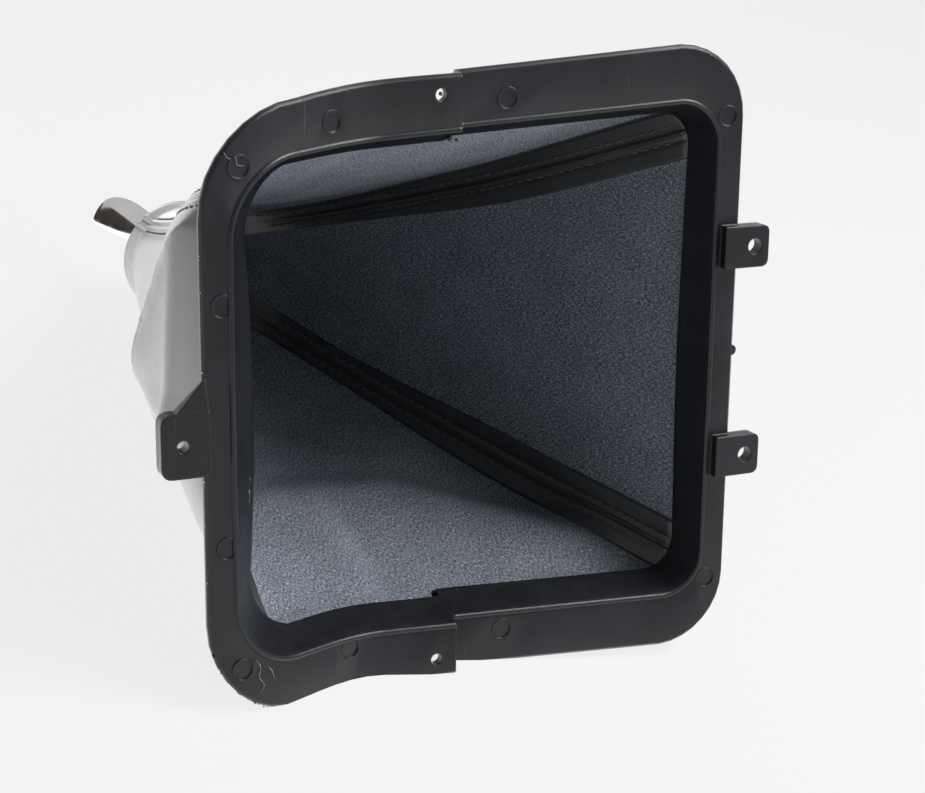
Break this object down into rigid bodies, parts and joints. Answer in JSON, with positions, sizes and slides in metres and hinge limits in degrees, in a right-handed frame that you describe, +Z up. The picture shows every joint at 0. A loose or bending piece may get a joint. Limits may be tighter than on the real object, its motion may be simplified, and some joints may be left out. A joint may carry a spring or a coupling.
{
  "type": "gear lever gaiter",
  "caption": "Sewn leather gear lever gaiter: a four-panel sleeve rising from a moulded frame with fixing tabs to a round plated collar.",
  "frame": {"origin": "bottom centre of the bounding box, on the level that the undersides of the tabs stand on", "axes": "+Z up towards the collar, +X towards the end with two tabs, +Y towards the left long rail; the flange is tipped 7.6 degrees about Y, because the tabs at its two ends lie at different depths"},
  "size_m": [0.1618, 0.1516, 0.2003],
  "materials": {
    "frame_plastic": "satin moulded plastic, near black",
    "sleeve_leather": "smooth black coated leather with a blue-grey knit backing",
    "collar_plating": "polished plating"
  },
  "bodies": {
    "root": {"gaiter_frame": "frame_plastic", "sleeve_panel_left": "sleeve_leather", "sleeve_panel_single_tab_end": "sleeve_leather", "sleeve_panel_right": "sleeve_leather", "sleeve_panel_two_tab_end": "sleeve_leather", "neck_collar": "collar_plating"}
  },
  "joints": []
}
